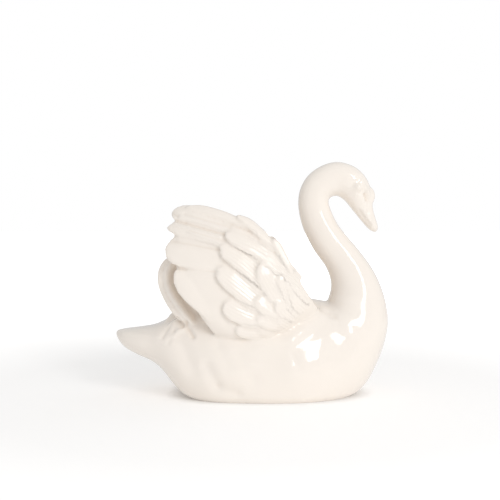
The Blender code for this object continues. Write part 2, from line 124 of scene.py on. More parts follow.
body = {
    "roundness": 2.3,
    "stepsBetween": 5,
    "ringPoints": 56,
    # the flank swells out round this place (X, height)
    "flankMiddle": (-8.0, 13.4),
    "flankRadius": 10.0,
    "flankRise": 1.4,
    "flankEdge": 3,
    # lower or front point, upper or back point, half width, where it is widest
    "sections": [
        (-50.1, 21.2, -50.1, 22.8, 1.2, 0.50),
        (-48.6, 18.8, -48.6, 23.3, 4.4, 0.55),
        (-46.0, 16.4, -46.0, 23.7, 7.6, 0.60),
        (-41.3, 14.0, -41.3, 24.2, 11.2, 0.60),
        (-36.5, 12.0, -36.5, 25.0, 13.8, 0.58),
        (-32.6, 8.9, -32.6, 26.6, 16.4, 0.56),
        (-28.6, 3.9, -28.6, 28.8, 18.8, 0.50),
        (-24.0, -0.8, -24.0, 31.0, 20.6, 0.42),
        (-16.0, -7.0, -16.0, 34.0, 22.3, 0.41),
        (-6.0, -13.4, -6.0, 35.8, 23.2, 0.44),
        (6.0, -16.2, 5.0, 36.2, 23.6, 0.42),
        (18.0, -13.6, 14.5, 35.6, 22.7, 0.40),
        (28.0, -7.6, 20.5, 34.8, 20.6, 0.40),
        (36.0, -1.8, 24.3, 34.2, 18.4, 0.43),
        (42.2, 4.3, 26.4, 33.8, 16.8, 0.50),
        (46.0, 11.4, 27.4, 33.6, 15.8, 0.55),
        (48.6, 18.4, 27.8, 33.6, 14.6, 0.55),
        (50.0, 25.6, 28.0, 34.0, 13.4, 0.54),
        (49.5, 31.8, 28.4, 35.2, 12.2, 0.56),
        (48.1, 37.4, 29.0, 37.4, 10.6, 0.52),
        (46.2, 42.2, 29.2, 40.4, 9.2, 0.50),
        (43.6, 46.9, 28.4, 43.8, 8.0, 0.50),
        (40.6, 51.0, 26.9, 47.0, 7.1, 0.50),
        (37.5, 54.8, 25.0, 49.6, 6.6, 0.50),
        (34.3, 58.5, 22.9, 52.6, 6.3, 0.50),
        (31.6, 62.0, 20.7, 56.6, 6.0, 0.50),
        (29.7, 65.6, 18.8, 60.8, 5.8, 0.50),
        (28.5, 68.6, 17.5, 65.6, 5.6, 0.50),
        (28.1, 70.6, 17.0, 70.2, 5.6, 0.50),
        (28.8, 71.9, 17.8, 75.2, 5.6, 0.50),
        (30.1, 72.5, 20.6, 80.0, 5.6, 0.50),
        (31.3, 72.5, 25.4, 83.5, 5.6, 0.52),
        (32.4, 72.1, 31.0, 85.0, 5.7, 0.54),
        (33.4, 71.4, 36.4, 83.8, 5.9, 0.55),
        (34.6, 70.3, 40.0, 81.4, 5.8, 0.54),
        (35.7, 69.0, 42.5, 78.1, 5.2, 0.52),
        (36.6, 67.8, 43.6, 74.6, 4.5, 0.50),
        (37.6, 66.6, 43.7, 71.0, 3.7, 0.50),
    ],
}


def bodyMesh():
    rings = []
    power = 2 / body["roundness"]
    for lowX, lowZ, highX, highZ, half, widest in smoothRows(body["sections"], body["stepsBetween"]):
        low = np.array((lowX, lowZ))
        rise = np.array((highX, highZ)) - low
        ring = []
        for i in range(body["ringPoints"]):
            turn = 2 * math.pi * i / body["ringPoints"]
            across = math.copysign(abs(math.cos(turn)) ** power, math.cos(turn))
            up = math.copysign(abs(math.sin(turn)) ** power, math.sin(turn))
            spot = low + rise * (widest + up * (1 - widest if up > 0 else widest))
            away = math.hypot(spot[0] - body["flankMiddle"][0], spot[1] - body["flankMiddle"][1])
            bulge = body["flankRise"] * math.exp(-(away / body["flankRadius"]) ** body["flankEdge"])
            ring.append((spot[0], (half + bulge) * across, spot[1]))
        rings.append(ring)
    return skin("body", rings)


bill = {
    "stepsBetween": 5,
    "ringPoints": 32,
    # X, height, half thickness, half width
    "stations": [
        (39.4, 71.4, 4.0, 3.9),
        (40.6, 68.9, 3.9, 3.5),
        (41.6, 66.6, 3.2, 3.1),
        (42.8, 64.3, 2.6, 2.9),
        (44.0, 62.2, 2.1, 2.8),
        (45.1, 60.5, 1.5, 2.2),
        (45.7, 59.4, 0.5, 0.9),
    ],
}


def tubeRings(stations, steps, count):
    rows = smoothRows(stations, steps)
    rings = []
    for i, (x, z, thick, wide) in enumerate(rows):
        back, ahead = rows[max(i - 1, 0)], rows[min(i + 1, len(rows) - 1)]
        along = math.hypot(ahead[0] - back[0], ahead[1] - back[1])
        sideX, sideZ = (ahead[1] - back[1]) / along, -(ahead[0] - back[0]) / along
        ring = []
        for j in range(count):
            turn = 2 * math.pi * j / count
            reach = thick * math.cos(turn)
            ring.append((x + sideX * reach, wide * math.sin(turn), z + sideZ * reach))
        rings.append(ring)
    return rings


face = {
    "ballSegments": (36, 24),
    "knobCentre": (42.9, 0.0, 72.5),
    "knobRadii": (2.4, 2.3, 3.4),
    "eyeCentre": (38.3, 4.9, 75.5),
    "eyeRadius": 1.4,
    # a shallow ring round the eye
    "socketRadius": 2.0,
    "socketWidth": 0.5,
    "socketDepth": 0.22,
}


def ball(name, centre, radii):
    shape = bmesh.new()
    around, down = face["ballSegments"]
    bmesh.ops.create_uvsphere(shape, u_segments=around, v_segments=down, radius=1.0)
    for corner in shape.verts:
        corner.co = Vector([(c + r * v) * mm for c, r, v in zip(centre, radii, corner.co)])
    mesh = bpy.data.meshes.new(name)
    shape.to_mesh(mesh)
    shape.free()
    return mesh


# wings

wing = {
    "guideCentre": (-2.0, 29.0),
    "guideRadii": (58.0, 24.9, 52.0),
    "edgeThickness": 3.2,
    "middleThickness": 8.0,
    "shoulderSink": 0.8,
    # toward its foot the wing leans in, from this height down
    "leanFrom": 31.0,
    "lean": 0.034,
    # toward the breast it dips into the body, measured along this slanting direction
    "breastWay": (0.675, -0.737),
    "breastFrom": -19.0,
    "breastTo": -6.0,
    "breastDip": 8.5,
    # the rim is rounded over this share of half its breadth
    "rimShare": 0.3,
    "rimRound": 1.5,
    "innerRimRound": 0.9,
    # its lower end sinks into the body from this share of its length on
    "lowFrom": 0.72,
    "lowSink": 0.5,
    "sinkEdge": 0.7,
    # the guide never closes in further than this at its ends
    "steepest": 0.03,
    "stepsBetween": 6,
    "chordPoints": 31,
    "leadingEdge": [
        (-24.0, 66.0), (-18.5, 66.6), (-10.0, 64.4), (-1.0, 61.0), (6.5, 56.0),
        (12.0, 49.5), (17.0, 43.0), (21.5, 37.2), (26.5, 32.6), (30.0, 28.0),
    ],
    "trailingEdge": [
        (-25.6, 64.6), (-27.2, 60.0), (-27.6, 54.0), (-26.5, 46.4), (-23.9, 40.4),
        (-20.6, 34.2), (-16.6, 28.2), (-12.0, 23.0), (-2.0, 20.6), (14.0, 21.4),
    ],
}


# a point at a height over the wing's guide
def onWing(x, z, over):
    cx, cz = wing["guideCentre"]
    a, b, c = wing["guideRadii"]
    along, rise = (x - cx) / a, (z - cz) / c
    across = math.sqrt(max(1 - along * along - rise * rise, wing["steepest"]))
    away = (along / a, across / b, rise / c)
    size = math.sqrt(sum(v * v for v in away))
    over -= wing["lean"] * max(wing["leanFrom"] - z, 0) ** 2
    way = x * wing["breastWay"][0] + z * wing["breastWay"][1] - wing["breastFrom"]
    over -= wing["breastDip"] * (max(way, 0) / (wing["breastTo"] - wing["breastFrom"])) ** 2
    return (x + over * away[0] / size, b * across + over * away[1] / size, z + over * away[2] / size)


def wingShell():
    front = smoothRows(wing["leadingEdge"], wing["stepsBetween"])
    rear = smoothRows(wing["trailingEdge"], wing["stepsBetween"])
    rings = []
    for i, (lead, trail) in enumerate(zip(front, rear)):
        down = i / (len(front) - 1)
        outer, inner = [], []
        for j in range(wing["chordPoints"]):
            share = j / (wing["chordPoints"] - 1)
            x = lead[0] + (trail[0] - lead[0]) * share
            z = lead[1] + (trail[1] - lead[1]) * share
            low = max(0, down - wing["lowFrom"]) / (1 - wing["lowFrom"])
            sink = wing["shoulderSink"] * (down * down * (1 - share) ** wing["sinkEdge"]
                                           + wing["lowSink"] * low * share)
            extra = (wing["middleThickness"] - wing["edgeThickness"]) * math.sin(math.pi * share)
            rim = max(0, abs(2 * share - 1) - (1 - wing["rimShare"])) / wing["rimShare"]
            outer.append(onWing(x, z, -sink - wing["rimRound"] * rim ** 2))
            rounded = wing["innerRimRound"] * rim ** 2
            inner.append(onWing(x, z, rounded - sink - wing["edgeThickness"] - extra))
        rings.append(outer + inner[::-1])
    return skin("wingShell", rings)


feathers = {
    "domeShare": 0.18,
    "domeEdge": 3,
    # the lower side runs on under the next feather, except close to the tip
    "tuckedUnder": 1.5,
    "tuckEnds": 4,
    # a feather is tilted about this place across it, so its upper side stands out
    "tiltPivot": 0.6,
    "sunk": 0.2,
    "depth": 2.8,
    "leastDepth": 0.5,
    "rootWidth": 0.72,
    "tipArch": 0.6,
    "tipWidth": 0.1,
    "quillHeight": 0.3,
    "quillPlace": 0.45,
    "quillWidth": 0.18,
    "quillEnds": 3,
    "lengthSteps": 40,
    "acrossPoints": 29,
    "undersideAcross": (0.85, 0.3, -0.3, -0.85),
    # tip, bend, root, half width, height of tip and root over the guide,
    # quills, tilt, bluntness, fine lines
    "rows": [
        ("flightRim", (-23.6, 68.2), (-14.0, 66.4), (-1.0, 61.4), 1.3, 0.6, 0.4, 0, 0.24, 2.8, 0.0),
        ("flightTop", (-28.7, 66.0), (-17.0, 64.4), (-2.0, 58.2), 2.9, 0.5, -0.4, 0, 0.24, 7.0, 0.0),
        ("flightUpper", (-30.0, 60.8), (-18.0, 59.4), (-2.0, 53.4), 3.0, 0.7, -0.4, 2, 0.24, 2.6, 0.3),
        ("flightMiddle", (-30.4, 54.2), (-20.0, 51.6), (-5.0, 46.6), 5.4, 0.5, -0.5, 0, 0.24, 4.2, 0.0),
        ("flightBroad", (-27.0, 46.0), (-17.2, 38.8), (-3.0, 25.0), 6.4, 0.3, -1.8, 0, 0.24, 2.0, 0.0),
        ("coverTuft", (-5.6, 65.2), (0.9, 60.7), (8.0, 54.2), 1.4, 1.3, -0.4, 1, 0.3, 2.0, 0.6),
        ("coverTop", (-9.6, 58.8), (-1.6, 55.2), (8.0, 49.6), 2.7, 1.7, -0.5, 2, 0.34, 2.8, 0.7),
        ("coverUpper", (-11.4, 54.2), (-3.8, 49.8), (6.0, 40.8), 3.5, 1.5, -0.6, 0, 0.26, 3.0, 0.6),
        ("coverMiddle", (-12.1, 46.9), (-4.6, 41.0), (7.0, 31.8), 3.9, 1.4, -0.4, 0, 0.28, 2.6, 0.3),
        ("coverLower", (-9.6, 35.2), (-3.2, 31.4), (7.0, 28.0), 3.7, 1.4, -0.4, 0, 0.28, 3.2, 0.3),
        ("coverLowest", (-5.4, 26.4), (-0.6, 25.0), (8.0, 24.6), 2.8, 1.0, -0.6, 0, 0.28, 3.2, 0.3),
        ("secondTuft", (7.4, 57.5), (9.6, 53.2), (13.6, 46.0), 1.2, 0.4, -0.4, 0, 0.2, 2.2, 0.6),
        ("secondTop", (4.0, 51.0), (8.8, 48.0), (16.0, 42.0), 2.8, 0.1, -0.9, 0, 0.2, 2.6, 1.0),
        ("secondUpper", (2.7, 48.6), (5.2, 42.4), (10.0, 34.0), 2.7, 1.0, -0.3, 0, 0.16, 2.2, 0.3),
        ("secondMiddle", (1.8, 37.2), (5.0, 33.6), (11.0, 29.6), 2.6, 0.9, 0.1, 0, 0.26, 2.6, 0.3),
        ("secondLower", (2.0, 30.4), (6.0, 28.2), (12.0, 26.4), 2.4, 0.8, -0.1, 0, 0.26, 2.6, 0.3),
        ("secondLowest", (2.6, 25.4), (6.4, 24.8), (12.0, 24.4), 1.8, 0.5, -0.4, 0, 0.26, 2.6, 0.2),
        ("thirdUpper", (10.0, 45.0), (10.4, 39.6), (13.0, 32.6), 1.8, 0.4, -0.8, 0, 0.14, 2.2, 0.7),
        ("thirdMiddle", (8.6, 35.6), (10.6, 32.0), (15.0, 28.4), 1.8, 0.7, -0.2, 0, 0.26, 2.4, 0.7),
        ("thirdLower", (9.2, 30.0), (11.6, 27.6), (16.0, 25.8), 1.6, 0.5, -0.3, 0, 0.26, 2.4, 0.7),
    ],
    # here the relief has melted away, and only the fine lines go on
    "linesOnly": [
        ("shoulderUpper", (13.4, 45.8), (16.6, 41.0), (21.5, 35.4), 3.0, -4.5, -4.5, 0, 0.0, 2.4, 0.7),
        ("shoulderMiddle", (13.2, 39.0), (17.0, 34.6), (22.0, 30.4), 3.2, -4.5, -4.5, 0, 0.0, 2.4, 0.5),
        ("shoulderLower", (13.0, 32.4), (17.4, 29.6), (23.0, 27.0), 3.0, -4.5, -4.5, 0, 0.0, 2.4, 0.3),
    ],
}


# centre line of a feather from its root (0) to its tip (1)
def featherLine(tip, bend, root, u):
    tip, bend, root = np.array(tip, float), np.array(bend, float), np.array(root, float)
    pull = 2 * bend - (tip + root) / 2
    return root * (1 - u) ** 2 + 2 * pull * u * (1 - u) + tip * u * u


# share of the full width: drawn in a little at the root, a pointed arch at the tip
def featherOutline(u, blunt):
    if u < 0.5:
        return feathers["rootWidth"] + (1 - feathers["rootWidth"]) * math.sin(math.pi * u)
    return max((1 - (2 * u - 1) ** blunt) ** feathers["tipArch"], feathers["tipWidth"])


# centre of a feather at u and the direction across it
def featherPlace(tip, bend, root, u):
    nudge = 0.01
    ahead = featherLine(tip, bend, root, min(u + nudge, 1))
    along = ahead - featherLine(tip, bend, root, max(u - nudge, 0))
    return featherLine(tip, bend, root, u), np.array((-along[1], along[0])) / np.hypot(*along)


def featherMesh(name, tip, bend, root, half, tipOver, rootOver, quills, tilt, blunt, lines):
    rings = []
    for i in range(feathers["lengthSteps"] + 1):
        u = i / feathers["lengthSteps"]
        centre, aside = featherPlace(tip, bend, root, u)
        wide = half * featherOutline(u, blunt)
        over = rootOver + (tipOver - rootOver) * math.sin(0.5 * math.pi * u)
        dome = feathers["domeShare"] * wide
        top, under = [], []
        raised = tilt * wide
        tucked = 1 + (feathers["tuckedUnder"] - 1) * min(1, feathers["tuckEnds"] * (1 - u))
        for part in np.linspace(-1, 1, feathers["acrossPoints"]):
            v = part if part > 0 else part * tucked
            spot = centre + aside * wide * v
            quill = 0.0
            if quills:
                fromQuill = abs(v) - feathers["quillPlace"] * (quills - 1)
                quill = feathers["quillHeight"] * math.exp(-(fromQuill / feathers["quillWidth"]) ** 2)
            rise = dome * (1 - abs(part) ** feathers["domeEdge"]) + raised * (v - feathers["tiltPivot"])
            rise += quill * min(1, feathers["quillEnds"] * (1 - u))
            top.append(onWing(spot[0], spot[1], over - feathers["sunk"] + rise))
        for part in feathers["undersideAcross"]:
            v = part if part > 0 else part * tucked
            spot = centre + aside * wide * v
            deep = feathers["depth"] * max(wide / half, feathers["leastDepth"])
            under.append(onWing(spot[0], spot[1], over - deep - feathers["tiltPivot"] * raised * (1 - v)))
        rings.append(top + under)
    return skin(name, rings)


# the wing's inner layer, seen behind the outer one as a band of long narrow feathers

innerLayer = {
    "depth": 9.0,
    "thickness": 2.5,
    "width": 16.0,
    # place across the band and radius of its long feathers
    "ridges": [(-0.7, 1.4), (1.8, 1.5)],
    "ridgeRise": 1.8,
    "recess": 2.4,
    "recessEnd": 6.2,
    "riseAfter": 2.4,
    "riseBreadth": 3.0,
    "edgeRound": 2.0,
    "solidFrom": 2.5,
    "solidDepth": 2.0,
    "underGap": 0.1,
    "endEdge": 6,
    "endWidth": 0.05,
    "stepsBetween": 6,
    "topPoints": 56,
    "underPoints": 24,
    "path": [
        (-18.0, 20.0), (-24.2, 26.6), (-28.6, 32.0), (-31.8, 36.9),
        (-34.0, 42.0), (-34.2, 46.6), (-32.4, 50.4), (-28.6, 53.2),
    ],
}


def innerLayerMesh():
    rows = smoothRows(innerLayer["path"], innerLayer["stepsBetween"])
    outerEdge = innerLayer["ridges"][0][0] - innerLayer["ridges"][0][1]
    rings = []
    for i, (x, z) in enumerate(rows):
        back, ahead = rows[max(i - 1, 0)], rows[min(i + 1, len(rows) - 1)]
        along = math.hypot(ahead[0] - back[0], ahead[1] - back[1])
        sideX, sideZ = (ahead[1] - back[1]) / along, -(ahead[0] - back[0]) / along
        part = i / (len(rows) - 1)
        fade = math.sqrt(max(1 - (2 * part - 1) ** innerLayer["endEdge"], innerLayer["endWidth"]))
        top, under = [], []
        for reach in np.linspace(outerEdge, innerLayer["width"], innerLayer["topPoints"]):
            height = -innerLayer["recess"]
            if reach > innerLayer["recessEnd"]:
                past = min(reach - innerLayer["recessEnd"], innerLayer["riseBreadth"])
                height += past * innerLayer["riseAfter"]
            for middle, radius in innerLayer["ridges"]:
                inside = max(radius ** 2 - (reach - middle) ** 2, 0)
                height = max(height, innerLayer["ridgeRise"] * math.sqrt(inside) if inside else height)
            spot = (x + sideX * reach * fade, z + sideZ * reach * fade)
            top.append(onWing(spot[0], spot[1], height * fade - innerLayer["depth"]))
        for reach in np.linspace(innerLayer["width"], outerEdge, innerLayer["underPoints"]):
            inward = min((reach - outerEdge) / innerLayer["edgeRound"], 1.0)
            height = -innerLayer["thickness"] * math.sqrt(1 - (1 - inward) ** 2) - innerLayer["underGap"]
            if reach > innerLayer["solidFrom"]:
                height = min(height, -innerLayer["recess"] - innerLayer["solidDepth"])
            spot = (x + sideX * reach * fade, z + sideZ * reach * fade)
            under.append(onWing(spot[0], spot[1], height * fade - innerLayer["depth"]))
        rings.append(top + under)
    return skin("innerLayer", rings)


rump = {
    "radius": 2.2,
    "flatness": 0.8,
    "endEdge": 4,
    "endWidth": 0.05,
    "lengthSteps": 16,
    "ringPoints": 20,
    # tip and root
    "rows": [
        ((-31.6, 6.5, 26.6), (-22.0, 4.0, 31.0)),
        ((-31.0, 11.6, 24.6), (-21.0, 9.0, 30.0)),
        ((-29.8, 16.0, 21.8), (-20.0, 14.0, 27.0)),
    ],
}


def rumpFeatherMesh(tip, root):
    tip, root = np.array(tip, float), np.array(root, float)
    rings = []
    for i in range(rump["lengthSteps"] + 1):
        u = i / rump["lengthSteps"]
        centre = root + (tip - root) * u
        radius = rump["radius"] * math.sqrt(max(1 - (2 * u - 1) ** rump["endEdge"], rump["endWidth"]))
        high = rump["flatness"] * radius
        rings.append([(centre[0], centre[1] + radius * math.cos(t), centre[2] + high * math.sin(t))
                      for t in np.linspace(0, 2 * math.pi, rump["ringPoints"], endpoint=False)])
    return skin("rumpFeather", rings)


# soft strokes over the skin, the same on both sides: start, end, radius, height

strokes = [
    ("flightCreaseTop", (-26.4, 63.6), (-10.0, 59.0), 0.7, -0.6),
    ("flightCreaseUpper", (-28.6, 56.6), (-11.3, 53.4), 0.7, -0.5),
    ("flightCreaseMiddle", (-26.0, 46.9), (-12.2, 45.9), 0.7, -0.45),
    ("flightNotch", (-28.6, 66.4), (-26.4, 65.3), 0.6, -0.7),
    ("flightRidgeTop", (-27.4, 62.4), (-11.0, 57.9), 0.55, 0.6),
    ("flightRidgeLow", (-22.0, 59.1), (-11.8, 55.6), 0.5, 0.45),
    ("rimGroove", (-23.8, 66.0), (-7.8, 61.4), 0.6, -0.4),
    ("flankCreaseBack", (-25.6, 22.6), (-20.6, 11.6), 2.4, -0.55),
    ("flankCreaseMiddle", (-11.8, 20.0), (-8.2, 14.0), 2.2, -0.4),
    ("flankCreaseLow", (-15.6, 13.0), (-12.4, 6.8), 2.2, -0.85),
    ("flankCreaseUnder", (-11.4, 5.4), (-5.2, 3.8), 2.0, -0.65),
    ("flankCreaseFront", (-4.6, 17.0), (0.4, 8.6), 2.8, -0.45),
    ("breastSwell", (14.4, 12.0), (22.4, 13.8), 5.2, 0.75),
    ("breastDent", (14.2, 17.0), (15.8, 13.0), 1.5, -0.22),
    ("breastSeamLow", (2.0, 20.4), (13.0, 21.6), 2.0, 0.5),
    ("breastSeamHigh", (14.0, 22.4), (25.0, 31.2), 2.0, 0.8),
    ("tailGrooveBack", (-31.8, 22.4), (-29.2, 26.8), 0.7, -0.5),
    ("tailGrooveFront", (-29.6, 20.6), (-27.6, 24.8), 0.8, -0.35),
    ("rumpGapBack", (-26.6, 28.9), (-24.8, 26.6), 0.7, -0.9),
    ("rumpGapFront", (-23.6, 27.2), (-20.8, 23.2), 0.9, -1.0),
    ("tailRidge", (-47.0, 22.4), (-34.0, 22.4), 0.9, 0.25),
    ("neckFoldUnder", (23.4, 30.2), (29.0, 27.8), 0.8, 0.35),
    ("neckFoldOver", (23.8, 31.8), (29.4, 29.4), 0.9, -0.35),
    ("eyeBall", (38.2, 75.6), (38.5, 75.3), 1.3, 0.6),
    ("lowerLid", (36.4, 74.9), (37.6, 73.4), 0.7, 0.45),
    ("brow", (39.7, 77.6), (41.4, 74.7), 0.7, 0.55),
    ("lore", (41.3, 72.9), (42.2, 70.9), 0.9, -1.3),
    ("knobRim", (42.0, 74.0), (42.8, 72.4), 0.5, 0.4),
    ("mouthLine", (39.2, 67.2), (43.4, 61.6), 0.45, -0.12),
    ("mouthEdge", (39.9, 67.8), (44.0, 62.2), 0.55, 0.4),
    ("nostril", (41.9, 67.2), (42.2, 66.4), 0.4, -0.3),
]


# a stroke is at full height on skin that faces the side, and fades where it turns away
facing = {"gain": 2.5}


# distance of each point from a line between two places, seen from the side
def fromLine(points, start, end):
    run = np.array(end) - start
    flat = points[:, (0, 2)] - start
    part = np.clip(flat @ run / (run @ run), 0, 1)
    return np.linalg.norm(flat - part[:, None] * run, axis=1)


def stroke(points, normals):
    outward = np.clip(np.sign(points[:, 1]) * normals[:, 1] * facing["gain"], 0, 1)
    moved = points.copy()
    for name, start, end, radius, height in strokes:
        away = fromLine(points, start, end)
        moved += normals * (height * np.exp(-(away / radius) ** 2) * outward)[:, None]
    fromEye = np.hypot(points[:, 0] - face["eyeCentre"][0], points[:, 2] - face["eyeCentre"][2])
    socket = face["socketDepth"] * np.exp(-((fromEye - face["socketRadius"]) / face["socketWidth"]) ** 2)
    return moved - normals * (socket * outward)[:, None]


# where the wing's relief melts into the body: start, end, radius

melts = {
    "factor": 0.5,
    "passes": 26,
    "levels": 20,
    "edge": 4,
    # the skin nearer to the middle than this stays as it is
    "outside": 12,
    "places": [
        ("seamLow", (-1.0, 20.6), (12.0, 21.4), 1.7),
        ("seamHigh", (12.0, 21.6), (27.0, 31.6), 2.6),
        ("shoulder", (17.0, 38.6), (21.0, 31.0), 4.2),
    ],
}


def meltWeights(points):
    weights = np.zeros(len(points))
    for name, start, end, radius in melts["places"]:
        away = fromLine(points, start, end) / radius
        weights = np.maximum(weights, np.exp(-away ** melts["edge"]))
    return weights * (np.abs(points[:, 1]) > melts["outside"])


# the foot is drawn in a little, so that a thin line of shade runs round it, and cut flat
foot = {"height": 2.2, "drawnIn": 1.4, "cutSize": 0.3}


def drawFoot(points, normals):
    share = np.clip(1 - points[:, 2] / foot["height"], 0, 1) ** 2 * foot["drawnIn"]
    points[:, 0] -= share * normals[:, 0]
    points[:, 1] -= share * normals[:, 1]
    return points


# takes out the bubbles closed in between the shapes
def withoutPockets(mesh):
    shape = bmesh.new()
    shape.from_mesh(mesh)
    seen, islands = set(), []
    for start in shape.verts:
        if start in seen:
            continue
        seen.add(start)
        island, waiting = [], [start]
        while waiting:
            corner = waiting.pop()
            island.append(corner)
            for edge in corner.link_edges:
                other = edge.other_vert(corner)
                if other not in seen:
                    seen.add(other)
                    waiting.append(other)
        islands.append(island)
    islands.sort(key=len)
    pockets = [corner for island in islands[:-1] for corner in island]
    bmesh.ops.delete(shape, geom=pockets, context="VERTS")
    shape.to_mesh(mesh)
    shape.free()
    print("pockets taken out:", len(islands) - 1)


# the pieces become one glazed skin

glazeSkin = {"voxel": 0.565, "smoothFactor": 0.5, "smoothPasses": 3}

shapes = [bodyMesh(), skin("bill", tubeRings(bill["stations"], bill["stepsBetween"], bill["ringPoints"])),
          ball("knob", face["knobCentre"], face["knobRadii"])]
shapes += mirrored(ball("eye", face["eyeCentre"], (face["eyeRadius"],) * 3))
shapes += mirrored(wingShell())
for row in feathers["rows"]:
    shapes += mirrored(featherMesh(*row))
shapes += mirrored(innerLayerMesh())
for tip, root in rump["rows"]:
    shapes += mirrored(rumpFeatherMesh(tip, root))
print("shapes made:", len(shapes))

whole = bmesh.new()
for mesh in shapes:
    whole.from_mesh(mesh)
swanMesh = bpy.data.meshes.new("glazedSwan")
whole.to_mesh(swanMesh)
whole.free()
swan = bpy.data.objects.new("glazedSwan", swanMesh)
bpy.context.scene.collection.objects.link(swan)

fuse = swan.modifiers.new("fuse", "REMESH")
fuse.mode = "VOXEL"
fuse.voxel_size = glazeSkin["voxel"] * mm
soften = swan.modifiers.new("softGlaze", "SMOOTH")
soften.factor = glazeSkin["smoothFactor"]
soften.iterations = glazeSkin["smoothPasses"]

bpy.context.view_layer.update()
fused = bpy.data.meshes.new_from_object(swan.evaluated_get(bpy.context.evaluated_depsgraph_get()))
swan.modifiers.clear()
swan.data = fused
withoutPockets(fused)
points, normals = readPoints(fused)
points = drawFoot(stroke(points, normals), normals)
fused.vertices.foreach_set("co", (points * mm).ravel())
fused.update()

# the weights go in as even levels, from the faintest to the full one
group = swan.vertex_groups.new(name="melt")
levels = np.round(meltWeights(points) * melts["levels"])
for level in range(1, melts["levels"] + 1):
    group.add(np.nonzero(levels == level)[0].tolist(), level / melts["levels"], "REPLACE")
melt = swan.modifiers.new("melt", "SMOOTH")
melt.vertex_group = "melt"
melt.factor = melts["factor"]
melt.iterations = melts["passes"]

bpy.ops.mesh.primitive_cube_add(size=foot["cutSize"], location=(0, 0, -foot["cutSize"] / 2))
baseCut = bpy.context.object
flat = swan.modifiers.new("flatBase", "BOOLEAN")
flat.operation = "DIFFERENCE"
flat.solver = "EXACT"
flat.object = baseCut
bpy.context.view_layer.update()
finished = bpy.data.meshes.new_from_object(swan.evaluated_get(bpy.context.evaluated_depsgraph_get()))
swan.modifiers.clear()
swan.data = finished
bpy.data.objects.remove(baseCut)
finished.calc_loop_triangles()
finished.shade_smooth()
print("glazed skin:", len(finished.loop_triangles), "triangles")


marking = {
    "steps": 32,
    "leastFacing": 0.1,
    # how far under the guide a point may still belong to a feather
    "reach": 4,
    "overlap": 1.02,
    "linesEnd": 0.95,
    "linesFade": 2,
}


# where each point lies on the topmost feather, for the fine lines along it
def markFeathers(mesh):
    points, normals = readPoints(mesh)
    count = len(points)
    cx, cz = wing["guideCentre"]
    a, b, c = wing["guideRadii"]
    inside = 1 - ((points[:, 0] - cx) / a) ** 2 - ((points[:, 2] - cz) / c) ** 2
    guide = b * np.sqrt(np.clip(inside, wing["steepest"], 1))
    outward = np.sign(points[:, 1]) * normals[:, 1] > marking["leastFacing"]
    outward &= np.abs(points[:, 1]) > guide - marking["reach"]
    nothing = -9.0
    across, strength, best = np.zeros(count), np.zeros(count), np.full(count, nothing)
    for name, tip, bend, root, half, tipOver, rootOver, quills, tilt, blunt, lines in (
            feathers["rows"] + feathers["linesOnly"]):
        nearest, place, side = np.full(count, np.inf), np.zeros(count), np.zeros(count)
        for i in range(marking["steps"] + 1):
            u = i / marking["steps"]
            centre, aside = featherPlace(tip, bend, root, u)
            gap = points[:, (0, 2)] - centre
            distance = np.hypot(gap[:, 0], gap[:, 1])
            closer = distance < nearest
            nearest[closer] = distance[closer]
            place[closer] = u
            side[closer] = (gap @ aside)[closer]
        wide = half * np.vectorize(featherOutline)(place, blunt)
        over = rootOver + (tipOver - rootOver) * np.sin(0.5 * math.pi * place)
        top = np.where(nearest < wide * marking["overlap"], over, nothing)
        chosen = (top > best) & outward
        best[chosen] = top[chosen]
        across[chosen] = side[chosen]
        fade = np.clip((marking["linesEnd"] - place) * marking["linesFade"], 0, 1)
        strength[chosen] = (lines * fade)[chosen]
    for title, values in (("featherAcross", across), ("featherLines", strength)):
        layer = mesh.attributes.new(title, "FLOAT", "POINT")
        layer.data.foreach_set("value", values.astype(np.float32))


markFeathers(finished)
print("feather lines marked")


# glazed earthenware: warm ivory under a clear, wet-looking shine with crisp lights

glaze = {
    "colour": "#FAF2E9",
    # painted shade and pooled glaze: this darker, warmer colour is mixed into creases and hollows
    "poolAndShadeColour": "#E9D6C2",
    # pointiness of a full crease and of open skin
    "crease": 0.34,
    "open": 0.49,
    "ior": 1.52,
    "roughness": 0.06,
    "shiniest": 0.8,
    "dullest": 1.4,
    # scales count the waves in a metre, spacing and depths are in millimetres
    "patchScale": 90.0,
    "patchDetail": 3.0,
    "patchRange": (0.3, 0.7),
    "lineSpacing": 1.1,
    "lineDepth": 0.06,
    "rippleScale": 160.0,
    "rippleDetail": 2.0,
    "rippleDepth": 0.02,
    "swellScale": 70.0,
    "swellDetail": 1.0,
    "swellDepth": 0.5,
}


